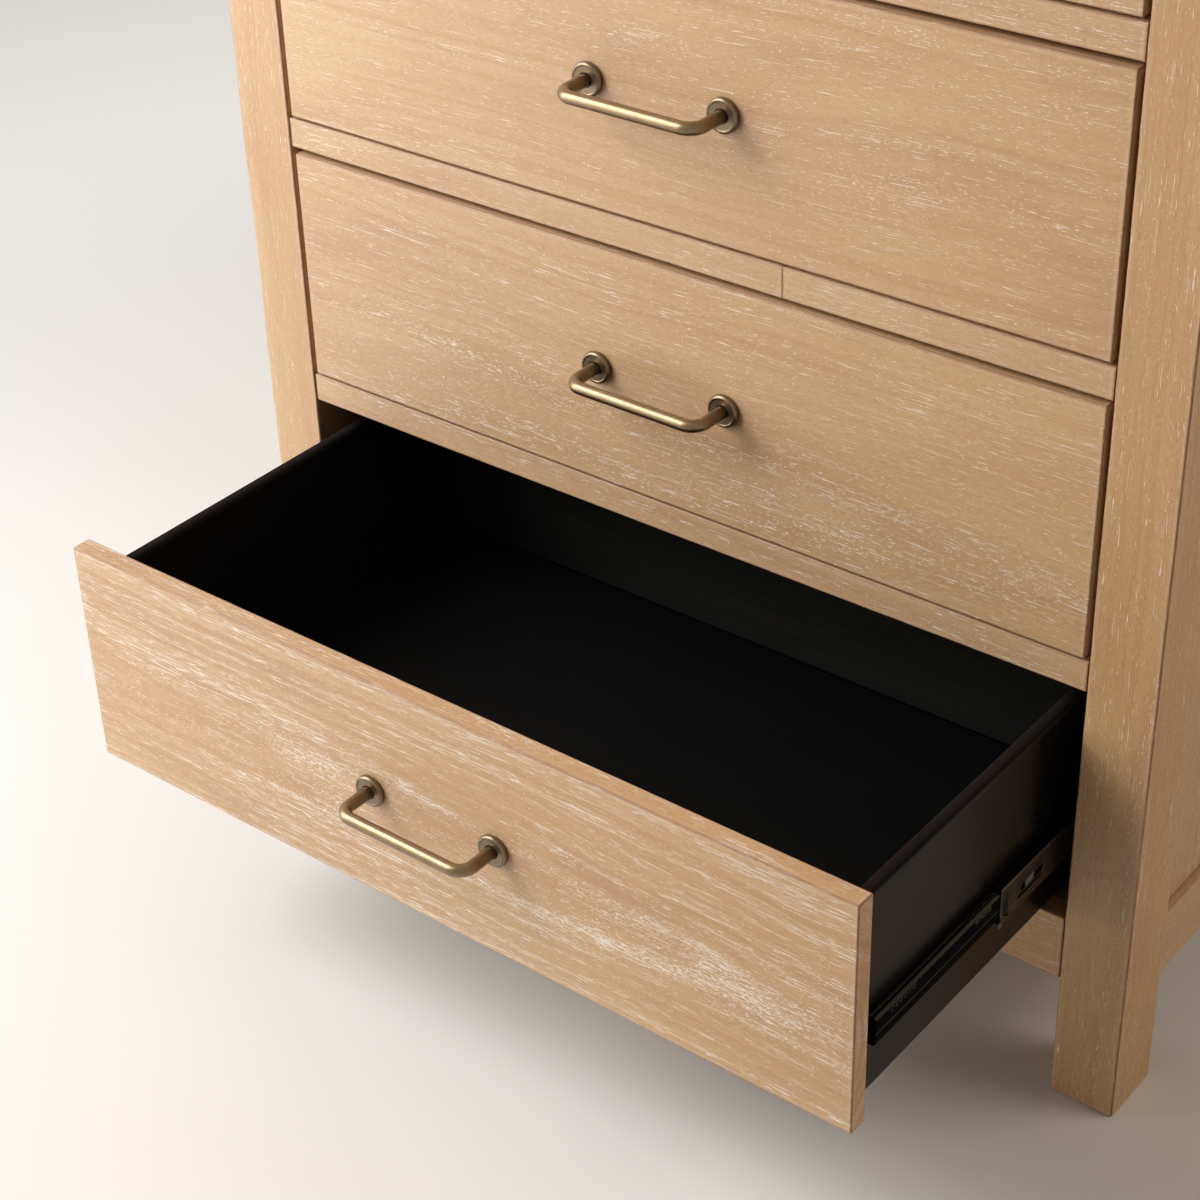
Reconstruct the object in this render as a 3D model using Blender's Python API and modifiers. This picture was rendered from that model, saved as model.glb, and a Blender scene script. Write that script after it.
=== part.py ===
"""Tall dresser: a frame of square posts, four drawers on ball-bearing slides, the lowest one pulled out.

Metres, +Z up. The width runs along X and the drawers open towards -Y. The origin is on the floor,
under the middle of the whole dresser with its lowest drawer open.
"""
import math

import bmesh
import bpy
from mathutils import Matrix, Vector

# Fits
FIT = 0.0003

# Frame
WIDTH = 0.9144
DEPTH = 0.5080
DRAWER_COUNT = 4
LEG_CLEARANCE = 0.1220
APRON_HEIGHT = 0.0625
OPENING_HEIGHT = 0.2218
RAIL_HEIGHT = 0.0268
TOP_RAIL_HEIGHT = 0.0418
TOP_THICKNESS = 0.0250
TOP_OVERHANG = 0.0120
TOP_EDGE = 0.0030
POST_WIDTH = 0.0587
POST_DEPTH = 0.0646
POST_EDGE = 0.0020
RAIL_SETBACK = 0.0010
RAIL_DEPTH = 0.0220
RAIL_EDGE = 0.0015
RAIL_SEAM = 0.0008
TENON_LENGTH = 0.0200
TENON_THICKNESS = 0.0100
TENON_SHOULDER = 0.0050

# Sides and back
SIDE_RAIL_INSET = 0.0015
SIDE_RAIL_DROP = 0.0120
SIDE_RAIL_THICKNESS = 0.0220
SIDE_RAIL_HEIGHT = 0.0660
PANEL_RECESS = 0.0080
PANEL_THICKNESS = 0.0060
PANEL_HOUSING = 0.0080
BACK_PANEL_THICKNESS = 0.0060
BACK_RABBET = 0.0100
BACK_RAIL_HEIGHT = 0.0600
BACK_RAIL_THICKNESS = 0.0200
BOTTOM_BOARD_THICKNESS = 0.0120
SLIDE_BOARD_THICKNESS = 0.0150
CLEAT_PROUD = 0.0062
CLEAT_HEIGHT = 0.0600

# Drawers
FRONT_THICKNESS = 0.0180
FRONT_EDGE = 0.0015
SIDE_GAP = 0.0042
TOP_GAP = 0.0050
BOTTOM_GAP = 0.0025
DRAWER_OPEN = 0.3025
BOX_RISE = 0.0038
BOX_DROP = 0.0219
BOX_ROOM = 0.0260
BOX_WALL = 0.0125
BOX_TOP_ROUND = 0.0045
BOTTOM_THICKNESS = 0.0060
BOTTOM_RISE = 0.0180
GROOVE_DEPTH = 0.0060

# Slides
SLIDE_SPACE = 0.0127
SLIDE_TAIL = 0.0180
SLIDE_HEIGHT = 0.0450
SLIDE_GAUGE = 0.0012
SLIDE_CLEARANCE = 0.0004
OUTER_RACE = 0.0038
INNER_RACE = 0.0028
SLIDE_LIP = 0.0009
SLIDE_CORNER = 0.0016
SLIDE_RISE = 0.0645
MIDDLE_TIP = 0.0020
CABINET_TIP = 0.0034
CABINET_MEMBER_SETBACK = 0.0010
MIDDLE_MEMBER_SETBACK = 0.0050
DRAWER_MEMBER_SETBACK = 0.0190
MIDDLE_SHARE = 0.4

# Pulls
PULL_CENTRES = 0.1280
PULL_REACH = 0.0380
PULL_BEND = 0.0125
BAR_RADIUS = 0.0054
ROSETTE_RADIUS = 0.0142
ROSETTE_THICKNESS = 0.0052
ROSETTE_ROUND = 0.0024
ROSETTE_STEP = 0.0005
ROSETTE_SLOPE = 0.0010
LEG_SEAT = 0.0015

# Facets and fine steps
EDGE_SEGMENTS = 2
BEND_STEPS = 7
BAR_RESOLUTION = 4
ROSETTE_STEPS = 28
ROSETTE_ARC_STEPS = 3
MERGE_DISTANCE = 0.00001
EMPTY_SIZE = 0.02
SHARP_ANGLE = math.radians(40)

# Levels and widths worked out from the sizes above
INNER_HALF = WIDTH / 2 - POST_WIDTH
PITCH = OPENING_HEIGHT + RAIL_HEIGHT
FIRST_OPENING = LEG_CLEARANCE + APRON_HEIGHT
LAST_OPENING_TOP = FIRST_OPENING + DRAWER_COUNT * PITCH - RAIL_HEIGHT
POST_TOP = LAST_OPENING_TOP + TOP_RAIL_HEIGHT
HEIGHT = POST_TOP + FIT + TOP_THICKNESS
RAIL_BACK = RAIL_SETBACK + RAIL_DEPTH
SIDE_RAIL_OUTER = WIDTH / 2 - SIDE_RAIL_INSET
SIDE_RAIL_LOW = LEG_CLEARANCE - SIDE_RAIL_DROP
SIDE_RAIL_TOP_LOW = POST_TOP - SIDE_RAIL_HEIGHT
PANEL_OUTER = WIDTH / 2 - PANEL_RECESS
SIDE_SHOULDER = PANEL_HOUSING + TENON_SHOULDER
RABBET_FLOOR = DEPTH - BACK_PANEL_THICKNESS - FIT
BACK_RAIL_FRONT = RABBET_FLOOR - BACK_RAIL_THICKNESS
FRONT_HALF = INNER_HALF - SIDE_GAP
FRONT_HEIGHT = OPENING_HEIGHT - TOP_GAP - BOTTOM_GAP
BOARD_FACE = INNER_HALF - 2 * FIT
SLIDE_FACE = INNER_HALF - CLEAT_PROUD
BOX_HALF = SLIDE_FACE - SLIDE_SPACE
BOX_LOW = BOTTOM_GAP + BOX_RISE
BOX_HIGH = BOTTOM_GAP + FRONT_HEIGHT - BOX_DROP
BOX_FRONT = FRONT_THICKNESS + FIT
BOX_BACK = BACK_RAIL_FRONT - BOX_ROOM
SLIDE_LEVEL = BOX_LOW + SLIDE_RISE
SLIDE_LENGTH = BOX_BACK - BOX_FRONT - DRAWER_MEMBER_SETBACK - SLIDE_TAIL
MIDDLE_HALF_HEIGHT = SLIDE_HEIGHT / 2 - SLIDE_GAUGE - OUTER_RACE
DRAWER_HALF_HEIGHT = MIDDLE_HALF_HEIGHT - SLIDE_GAUGE - INNER_RACE
FRONT_REACH = DRAWER_OPEN + PULL_REACH + BAR_RADIUS
FRONT_PLANE = (FRONT_REACH - DEPTH) / 2

FINISHES = {
    "oak": ((0.62, 0.44, 0.28), 0.55, 0.0),
    "black": ((0.012, 0.011, 0.010), 0.45, 0.0),
    "steel": ((0.030, 0.028, 0.026), 0.35, 0.9),
    "brass": ((0.36, 0.25, 0.13), 0.32, 1.0),
}
SIDES = {"left": -1, "right": 1}


def clear_scene():
    for item in list(bpy.data.objects):
        bpy.data.objects.remove(item, do_unlink=True)


def new_collection(name):
    collection = bpy.data.collections.new(name)
    bpy.context.scene.collection.children.link(collection)
    return collection


def new_empty(name, location, parent=None):
    empty = bpy.data.objects.new(name, None)
    empty.empty_display_size = EMPTY_SIZE
    empty.location = location
    empty.parent = parent
    PARTS.objects.link(empty)
    return empty


def add_object(name, data, location, parent, collection):
    item = bpy.data.objects.new(name, data)
    item.location = location
    item.parent = parent
    collection.objects.link(item)
    return item


def finish(item, kind):
    """Gives a piece its own Principled material."""
    colour, roughness, metallic = FINISHES[kind]
    material = bpy.data.materials.new(item.name + "_" + kind)
    material.use_nodes = True
    shader = material.node_tree.nodes["Principled BSDF"]
    shader.inputs["Base Color"].default_value = (*colour, 1.0)
    shader.inputs["Roughness"].default_value = roughness
    shader.inputs["Metallic"].default_value = metallic
    item.data.materials.clear()
    item.data.materials.append(material)
    return item


def box_centre(x, y, z):
    return Vector((sum(x) / 2, sum(y) / 2, sum(z) / 2))


def box_mesh(name, x, y, z):
    """A box of the size between two limits along each axis, centred on its own origin."""
    size = [abs(high - low) for low, high in (x, y, z)]
    mesh = bpy.data.meshes.new(name)
    shape = bmesh.new()
    bmesh.ops.create_cube(shape, size=1.0, matrix=Matrix.Diagonal((*size, 1.0)))
    shape.to_mesh(mesh)
    shape.free()
    return mesh


def make_box(name, x, y, z, parent, kind):
    """A piece that is a box between two limits along each axis."""
    return finish(add_object(name, box_mesh(name, x, y, z), box_centre(x, y, z), parent, PARTS), kind)


def make_tool(name, limits, parent):
    """A hidden box that is cut from a piece or joined to it."""
    return hide_tool(add_object(name, box_mesh(name, *limits), box_centre(*limits), parent, CUTTERS))


def hide_tool(item):
    item.hide_render = True
    item.display_type = "WIRE"
    return item


def add_boolean(item, tool, operation):
    modifier = item.modifiers.new(tool.name, "BOOLEAN")
    modifier.operation = operation
    modifier.solver = "EXACT"
    modifier.object = tool


def round_edges(item, width):
    modifier = item.modifiers.new("edges", "BEVEL")
    modifier.width = width
    modifier.segments = EDGE_SEGMENTS
    modifier.limit_method = "ANGLE"


def mirrored(side, low, high):
    """Limits along X on the left or right, given as distances from the middle."""
    return tuple(sorted((side * low, side * high)))


def opening_low(row):
    """The height of the lower edge of a drawer's opening; row 0 is the lowest."""
    return FIRST_OPENING + row * PITCH


def front_rails():
    """Name, lower edge and height of each piece across the front."""
    rails = [("apron_front", LEG_CLEARANCE, APRON_HEIGHT)]
    for row in range(1, DRAWER_COUNT):
        rails.append((f"rail_front_{row}", opening_low(row) - RAIL_HEIGHT, RAIL_HEIGHT))
    rails.append(("rail_front_top", LAST_OPENING_TOP, TOP_RAIL_HEIGHT))
    return rails


def back_rail():
    """Name, lower edge and height of the rail between the back posts."""
    return ("rail_back", POST_TOP - BACK_RAIL_HEIGHT, BACK_RAIL_HEIGHT)


def side_rails():
    """Name and lower edge of each piece between the front and back posts."""
    return [("rail_side_bottom", SIDE_RAIL_LOW), ("rail_side_top", SIDE_RAIL_TOP_LOW)]


def tenon_limits(low, high, shoulder, clearance=0.0):
    return (low + shoulder - clearance, high - shoulder + clearance)


def tenon_thickness(low, high, clearance=0.0):
    middle = (low + high) / 2
    return (middle - TENON_THICKNESS / 2 - clearance, middle + TENON_THICKNESS / 2 + clearance)


def cross_mortises(side, rails, front, back):
    """Mortises in one post for the tenons of the rails that run along X."""
    x = mirrored(side, INNER_HALF - FIT, INNER_HALF + TENON_LENGTH + FIT)
    y = tenon_thickness(front, back, FIT)
    return [(x, y, tenon_limits(low, low + height, TENON_SHOULDER, FIT)) for _, low, height in rails]


def side_mortises(side, faces):
    """Mortises and the panel's groove in one post, sunk from its inner face along Y."""
    inner, depth_sign = faces
    x = mirrored(side, *tenon_thickness(SIDE_RAIL_OUTER - SIDE_RAIL_THICKNESS, SIDE_RAIL_OUTER, FIT))
    y = (inner - depth_sign * FIT, inner + depth_sign * (TENON_LENGTH + FIT))
    cuts = []
    for _, low in side_rails():
        cuts.append((x, y, tenon_limits(low, low + SIDE_RAIL_HEIGHT, SIDE_SHOULDER, FIT)))
    groove_x = mirrored(side, PANEL_OUTER - PANEL_THICKNESS - FIT, PANEL_OUTER + FIT)
    groove_y = (inner - depth_sign * FIT, inner + depth_sign * (PANEL_HOUSING + FIT))
    cuts.append((groove_x, groove_y, panel_height(FIT)))
    return cuts


def panel_height(clearance):
    low = SIDE_RAIL_LOW + SIDE_RAIL_HEIGHT - PANEL_HOUSING
    high = SIDE_RAIL_TOP_LOW + PANEL_HOUSING
    return (low - clearance, high + clearance)


def make_post(place, hand, at_back):
    side = SIDES[hand]
    x = mirrored(side, INNER_HALF, WIDTH / 2)
    y = (DEPTH - POST_DEPTH, DEPTH) if at_back else (0.0, POST_DEPTH)
    post = make_box(f"post_{place}_{hand}", x, y, (0.0, POST_TOP), FRAME, "oak")
    round_edges(post, POST_EDGE)
    if at_back:
        cuts = cross_mortises(side, [back_rail()], BACK_RAIL_FRONT, RABBET_FLOOR)
        cuts += side_mortises(side, (y[0], 1))
        rabbet_x = mirrored(side, INNER_HALF - FIT, INNER_HALF + BACK_RABBET)
        cuts.append((rabbet_x, (RABBET_FLOOR, DEPTH + FIT), (LEG_CLEARANCE - FIT, POST_TOP + FIT)))
    else:
        cuts = cross_mortises(side, front_rails(), RAIL_SETBACK, RAIL_BACK)
        cuts += side_mortises(side, (y[1], -1))
    for number, limits in enumerate(cuts):
        add_boolean(post, make_tool(f"{post.name}_cut_{number}", limits, FRAME), "DIFFERENCE")


def make_cross_rail(name, low, height, front, back):
    """A rail along X with a tenon at each end."""
    reach = INNER_HALF - RAIL_SEAM
    rail = make_box(name, (-reach, reach), (front, back), (low, low + height), FRAME, "oak")
    round_edges(rail, RAIL_EDGE)
    for hand, side in SIDES.items():
        x = mirrored(side, reach - RAIL_EDGE - TENON_SHOULDER, INNER_HALF + TENON_LENGTH)
        limits = (x, tenon_thickness(front, back), tenon_limits(low, low + height, TENON_SHOULDER))
        add_boolean(rail, make_tool(f"{name}_tenon_{hand}", limits, FRAME), "UNION")


def make_side_rail(name, low, hand):
    """A rail along Y with a tenon at each end and a groove for the side panel."""
    side = SIDES[hand]
    name = f"{name}_{hand}"
    inner = SIDE_RAIL_OUTER - SIDE_RAIL_THICKNESS
    x = mirrored(side, inner, SIDE_RAIL_OUTER)
    ends = (POST_DEPTH + FIT, DEPTH - POST_DEPTH - FIT)
    high = low + SIDE_RAIL_HEIGHT
    rail = make_box(name, x, ends, (low, high), FRAME, "oak")
    round_edges(rail, RAIL_EDGE)
    x = mirrored(side, *tenon_thickness(inner, SIDE_RAIL_OUTER))
    z = tenon_limits(low, high, SIDE_SHOULDER)
    overlap = RAIL_EDGE + TENON_SHOULDER
    front_tenon = (x, (POST_DEPTH - TENON_LENGTH, ends[0] + overlap), z)
    back_tenon = (x, (ends[1] - overlap, DEPTH - POST_DEPTH + TENON_LENGTH), z)
    add_boolean(rail, make_tool(name + "_tenon_front", front_tenon, FRAME), "UNION")
    add_boolean(rail, make_tool(name + "_tenon_back", back_tenon, FRAME), "UNION")
    groove_x = mirrored(side, PANEL_OUTER - PANEL_THICKNESS - FIT, PANEL_OUTER + FIT)
    if low < SIDE_RAIL_TOP_LOW:
        groove_z = (panel_height(FIT)[0], high + FIT)
    else:
        groove_z = (low - FIT, panel_height(FIT)[1])
    groove = (groove_x, (0.0, DEPTH), groove_z)
    add_boolean(rail, make_tool(name + "_groove", groove, FRAME), "DIFFERENCE")


def make_side_panel(hand):
    x = mirrored(SIDES[hand], PANEL_OUTER - PANEL_THICKNESS, PANEL_OUTER)
    y = (POST_DEPTH - PANEL_HOUSING, DEPTH - POST_DEPTH + PANEL_HOUSING)
    make_box(f"panel_side_{hand}", x, y, panel_height(0.0), FRAME, "oak")


def make_slide_board(hand):
    """The board between the posts, with a cleat at each drawer that its slide is screwed to.

    The board stands a little inside the posts' inner faces. The cleats stand proud of it and run
    on past those faces, to the rails in front and behind.
    """
    side = SIDES[hand]
    x = mirrored(side, BOARD_FACE, BOARD_FACE + SLIDE_BOARD_THICKNESS)
    y = (POST_DEPTH + FIT, DEPTH - POST_DEPTH - FIT)
    board = make_box(f"slide_board_{hand}", x, y, (LEG_CLEARANCE, POST_TOP), FRAME, "oak")
    x = mirrored(side, SLIDE_FACE, INNER_HALF - FIT)
    y = (RAIL_BACK + FIT, BACK_RAIL_FRONT - FIT)
    for row in range(DRAWER_COUNT):
        level = opening_low(row) + SLIDE_LEVEL
        z = (level - CLEAT_HEIGHT / 2, level + CLEAT_HEIGHT / 2)
        add_boolean(board, make_tool(f"{board.name}_cleat_{row + 1}", (x, y, z), FRAME), "UNION")


def make_bottom_board():
    """Closes the cabinet below the lowest drawer, level with the top of the apron."""
    reach = BOARD_FACE - FIT
    z = (FIRST_OPENING - BOTTOM_BOARD_THICKNESS, FIRST_OPENING)
    make_box("bottom_board", (-reach, reach), (RAIL_BACK + FIT, RABBET_FLOOR), z, FRAME, "oak")


def make_back_panel():
    reach = INNER_HALF + BACK_RABBET - FIT
    y = (RABBET_FLOOR + FIT, DEPTH)
    make_box("panel_back", (-reach, reach), y, (LEG_CLEARANCE, POST_TOP), FRAME, "oak")


def make_top():
    reach = WIDTH / 2 + TOP_OVERHANG
    top = make_box("top", (-reach, reach), (-TOP_OVERHANG, DEPTH), (POST_TOP + FIT, HEIGHT), FRAME, "oak")
    round_edges(top, TOP_EDGE)


def make_frame():
    for hand in SIDES:
        make_post("front", hand, at_back=False)
        make_post("back", hand, at_back=True)
        for name, low in side_rails():
            make_side_rail(name, low, hand)
        make_side_panel(hand)
        make_slide_board(hand)
    for name, low, height in front_rails():
        make_cross_rail(name, low, height, RAIL_SETBACK, RAIL_BACK)
    make_cross_rail(*back_rail(), BACK_RAIL_FRONT, RABBET_FLOOR)
    make_bottom_board()
    make_back_panel()
    make_top()


def bottom_groove(clearance):
    """Limits of the drawer bottom in X, Y and Z, in its drawer's frame."""
    reach = BOX_HALF - BOX_WALL + GROOVE_DEPTH + clearance
    y = (FRONT_THICKNESS - GROOVE_DEPTH - clearance, BOX_BACK - BOX_WALL + GROOVE_DEPTH + clearance)
    low = BOX_LOW + BOTTOM_RISE
    return ((-reach, reach), y, (low - clearance, low + BOTTOM_THICKNESS + clearance))


def make_drawer_front(name, carriage):
    x = (-FRONT_HALF, FRONT_HALF)
    z = (BOTTOM_GAP, BOTTOM_GAP + FRONT_HEIGHT)
    front = make_box(name + "_front", x, (0.0, FRONT_THICKNESS), z, carriage, "oak")
    round_edges(front, FRONT_EDGE)
    add_boolean(front, make_tool(name + "_front_groove", bottom_groove(FIT), carriage), "DIFFERENCE")


def round_top(board, along):
    """Rounds the two upper edges of a drawer board that run along one axis, 0 for X and 1 for Y."""
    shape = bmesh.new()
    shape.from_mesh(board.data)
    edges = []
    for edge in shape.edges:
        first, second = [vertex.co for vertex in edge.verts]
        if first.z > 0 and second.z > 0 and abs(first[along] - second[along]) > MERGE_DISTANCE:
            edges.append(edge)
    bmesh.ops.bevel(shape, geom=edges, offset=BOX_TOP_ROUND, segments=EDGE_SEGMENTS + 1,
                    profile=0.5, affect="EDGES")
    shape.to_mesh(board.data)
    shape.free()


def make_box_side(name, hand, carriage):
    x = mirrored(SIDES[hand], BOX_HALF - BOX_WALL, BOX_HALF)
    board = make_box(f"{name}_side_{hand}", x, (BOX_FRONT, BOX_BACK), (BOX_LOW, BOX_HIGH), carriage, "black")
    round_top(board, 1)
    return board


def make_box_back(name, carriage, clearance):
    reach = BOX_HALF - BOX_WALL - clearance
    y = (BOX_BACK - BOX_WALL, BOX_BACK)
    board = make_box(name + "_back", (-reach, reach), y, (BOX_LOW, BOX_HIGH), carriage, "black")
    round_top(board, 0)
    return board


def make_split_box(name, carriage):
    """A drawer box as separate boards, with the bottom let into grooves."""
    make_box(name + "_bottom", *bottom_groove(0.0), carriage, "black")
    boards = [make_box_side(name, hand, carriage) for hand in SIDES]
    boards.append(make_box_back(name, carriage, FIT))
    for board in boards:
        groove = make_tool(board.name + "_groove", bottom_groove(FIT), carriage)
        add_boolean(board, groove, "DIFFERENCE")


def make_glued_box(name, carriage):
    """A drawer box whose sides, back and bottom are joined into one piece."""
    box = make_box(name + "_box", *bottom_groove(0.0), carriage, "black")
    boards = [make_box_side(name, hand, carriage) for hand in SIDES]
    boards.append(make_box_back(name, carriage, 0.0))
    for board in boards:
        PARTS.objects.unlink(board)
        CUTTERS.objects.link(hide_tool(board))
        add_boolean(box, board, "UNION")


def arc(centre, radius, start, end, steps):
    """Points on an arc, in degrees, as pairs of coordinates."""
    points = []
    for step in range(steps + 1):
        angle = math.radians(start + (end - start) * step / steps)
        points.append((centre[0] + radius * math.cos(angle), centre[1] + radius * math.sin(angle)))
    return points


def channel_outline(web, tip, half_height):
    """A slide member's section: a web, two flanges and their turned-in lips.

    web and tip are distances out of the drawer box, of the web's outer face and the flanges' ends.
    """
    length = web - tip
    corner = SLIDE_CORNER
    lip = corner + SLIDE_LIP - half_height
    inside = SLIDE_GAUGE - half_height
    back = arc((corner, corner - half_height), corner, 180, 270, EDGE_SEGMENTS)
    front = arc((length - corner, corner - half_height), corner, 270, 360, EDGE_SEGMENTS)
    hollow = [(length, lip), (length - SLIDE_GAUGE, lip)]
    hollow += [(length - SLIDE_GAUGE, inside), (SLIDE_GAUGE, inside)]
    half = back + front + hollow
    upper = [(x, -z) for x, z in reversed(half)]
    return [(web - x, z) for x, z in half + upper]


def make_member(name, section, start, hand, carriage):
    """A channel along Y, from start to start plus the slide's length."""
    curve = bpy.data.curves.new(name, "CURVE")
    curve.dimensions = "2D"
    curve.fill_mode = "BOTH"
    curve.extrude = SLIDE_LENGTH / 2
    spline = curve.splines.new("POLY")
    spline.points.add(len(section) - 1)
    for point, (x, z) in zip(spline.points, section):
        point.co = (SIDES[hand] * (BOX_HALF + x), z, 0.0, 1.0)
    spline.use_cyclic_u = True
    middle = (0.0, start + SLIDE_LENGTH / 2, SLIDE_LEVEL)
    member = add_object(name, curve, middle, carriage, PARTS)
    member.rotation_euler = (math.radians(90), 0.0, 0.0)
    finish(member, "steel")


def make_slides(row, base, carriage, middle):
    """Three nested channels on each side of a drawer: on the cabinet, between, and on the drawer.

    All three open towards the drawer, and the innermost one stands on the drawer's side by its lips.
    """
    cleat_front = RAIL_BACK + FIT
    cabinet_web = SLIDE_SPACE - FIT
    middle_web = cabinet_web - SLIDE_GAUGE - SLIDE_CLEARANCE
    drawer_web = middle_web - SLIDE_GAUGE - SLIDE_CLEARANCE
    for hand in SIDES:
        name = f"slide_{row + 1}_{hand}_"
        section = channel_outline(cabinet_web, CABINET_TIP, SLIDE_HEIGHT / 2)
        make_member(name + "cabinet_member", section, cleat_front + CABINET_MEMBER_SETBACK, hand, base)
        section = channel_outline(middle_web, MIDDLE_TIP, MIDDLE_HALF_HEIGHT)
        make_member(name + "middle_member", section, cleat_front + MIDDLE_MEMBER_SETBACK, hand, middle)
        section = channel_outline(drawer_web, FIT, DRAWER_HALF_HEIGHT)
        make_member(name + "drawer_member", section, BOX_FRONT + DRAWER_MEMBER_SETBACK, hand, carriage)


def pull_path():
    """The bar's centreline: out of one rosette, round a bend, across and back into the other."""
    half = PULL_CENTRES / 2
    start = -(ROSETTE_THICKNESS - LEG_SEAT)
    centre = (-half + PULL_BEND, -(PULL_REACH - PULL_BEND))
    left = [(-half, start)] + arc(centre, PULL_BEND, 180, 270, BEND_STEPS)
    return left + [(-x, y) for x, y in reversed(left)]


def make_bar(name, location, carriage):
    """The pull's round bar, made a mesh so that its rosettes can be joined to it."""
    curve = bpy.data.curves.new(name + "_path", "CURVE")
    curve.dimensions = "3D"
    curve.bevel_depth = BAR_RADIUS
    curve.bevel_resolution = BAR_RESOLUTION
    curve.use_fill_caps = True
    path = pull_path()
    spline = curve.splines.new("POLY")
    spline.points.add(len(path) - 1)
    for point, (x, y) in zip(spline.points, path):
        point.co = (x, y, 0.0, 1.0)
    wire = add_object(name + "_path", curve, location, carriage, CUTTERS)
    bpy.context.view_layer.update()
    evaluated = wire.evaluated_get(bpy.context.evaluated_depsgraph_get())
    mesh = bpy.data.meshes.new_from_object(evaluated)
    shape = bmesh.new()
    shape.from_mesh(mesh)
    bmesh.ops.remove_doubles(shape, verts=shape.verts, dist=MERGE_DISTANCE)
    bmesh.ops.recalc_face_normals(shape, faces=shape.faces)
    shape.to_mesh(mesh)
    shape.free()
    mesh.shade_smooth()
    mesh.set_sharp_from_angle(angle=SHARP_ANGLE)
    bpy.data.objects.remove(wire, do_unlink=True)
    bar = add_object(name, mesh, location, carriage, PARTS)
    return finish(bar, "brass")


def rosette_profile():
    """From the middle of the rosette's face out to its rounded rim and down to its back."""
    face = ROSETTE_THICKNESS - FIT
    rim = ROSETTE_RADIUS - ROSETTE_ROUND
    points = [(0.0, face - ROSETTE_STEP), (rim - ROSETTE_SLOPE, face - ROSETTE_STEP)]
    rounding = arc((rim, face - ROSETTE_ROUND), ROSETTE_ROUND, 90, 0, ROSETTE_ARC_STEPS)
    return points + rounding + [(ROSETTE_RADIUS, 0.0), (0.0, 0.0)]


def make_rosette(name, location, carriage):
    """A turned disc standing on the drawer front."""
    mesh = bpy.data.meshes.new(name)
    shape = bmesh.new()
    previous = None
    for radius, height in rosette_profile():
        vertex = shape.verts.new((radius, 0.0, height))
        if previous:
            shape.edges.new((previous, vertex))
        previous = vertex
    shape.to_mesh(mesh)
    shape.free()
    rosette = add_object(name, mesh, location, carriage, CUTTERS)
    rosette.rotation_euler = (math.radians(90), 0.0, 0.0)
    turn = rosette.modifiers.new("turn", "SCREW")
    turn.steps = ROSETTE_STEPS
    turn.render_steps = ROSETTE_STEPS
    turn.use_merge_vertices = True
    turn.merge_threshold = MERGE_DISTANCE
    return hide_tool(rosette)


def make_pull(name, carriage):
    middle = BOTTOM_GAP + FRONT_HEIGHT / 2
    bar = make_bar(name + "_pull", (0.0, 0.0, middle), carriage)
    for hand, side in SIDES.items():
        location = (side * PULL_CENTRES / 2, -FIT, middle)
        rosette = make_rosette(f"{name}_rosette_{hand}", location, carriage)
        add_boolean(bar, rosette, "UNION")


def make_drawer(row):
    """A drawer and its slides. Each moving body hangs on an empty at its own place."""
    name = f"drawer_{row + 1}"
    drawn = DRAWER_OPEN if row == 0 else 0.0
    low = opening_low(row)
    base = new_empty(name + "_opening", (0.0, 0.0, low), FRAME)
    carriage = new_empty(name + "_carriage", (0.0, -drawn, low), FRAME)
    middle = new_empty(name + "_slide_carriage", (0.0, -drawn * MIDDLE_SHARE, low), FRAME)
    make_drawer_front(name, carriage)
    if row == 0:
        make_split_box(name, carriage)
    else:
        make_glued_box(name, carriage)
    make_pull(name, carriage)
    make_slides(row, base, carriage, middle)


clear_scene()
PARTS = new_collection("tall_dresser")
CUTTERS = new_collection("cutters")
FRAME = new_empty("dresser_frame", (0.0, FRONT_PLANE, 0.0))
make_frame()
for number in range(DRAWER_COUNT):
    make_drawer(number)
bpy.context.view_layer.update()
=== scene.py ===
import math

import bmesh
import bpy
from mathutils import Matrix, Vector, noise


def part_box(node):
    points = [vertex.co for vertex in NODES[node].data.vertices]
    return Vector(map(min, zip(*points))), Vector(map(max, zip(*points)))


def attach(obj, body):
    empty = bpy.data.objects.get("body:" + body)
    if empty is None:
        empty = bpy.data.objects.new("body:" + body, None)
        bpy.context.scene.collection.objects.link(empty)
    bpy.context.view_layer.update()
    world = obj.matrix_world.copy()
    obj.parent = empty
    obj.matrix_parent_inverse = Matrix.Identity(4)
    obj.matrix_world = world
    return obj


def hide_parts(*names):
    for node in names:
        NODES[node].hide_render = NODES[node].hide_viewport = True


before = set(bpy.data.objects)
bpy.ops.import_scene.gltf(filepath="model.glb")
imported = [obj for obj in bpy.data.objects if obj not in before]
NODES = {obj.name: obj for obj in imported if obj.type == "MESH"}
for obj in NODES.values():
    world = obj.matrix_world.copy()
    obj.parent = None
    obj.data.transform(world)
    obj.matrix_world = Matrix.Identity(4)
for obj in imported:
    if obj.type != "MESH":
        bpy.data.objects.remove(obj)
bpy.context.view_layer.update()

ROWS = (1, 2, 3, 4)
SIDES = {"left": -1, "right": 1}

# The dresser's sizes, in metres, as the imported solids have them
POST_LOW, POST_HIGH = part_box("post_front_left")
SIDE_LOW, SIDE_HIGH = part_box("drawer_1_side_left")
BOTTOM_LOW, BOTTOM_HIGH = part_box("drawer_1_bottom")
POST_DEPTH = POST_HIGH.y - POST_LOW.y
INNER_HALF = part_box("post_front_right")[0].x
BOX_FACE = -SIDE_LOW.x
WALL = SIDE_HIGH.x - SIDE_LOW.x
BOTTOM_RISE = BOTTOM_LOW.z - SIDE_LOW.z
BOTTOM_THICKNESS = BOTTOM_HIGH.z - BOTTOM_LOW.z
BOTTOM_TONGUE = SIDE_LOW.y - BOTTOM_LOW.y

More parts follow.
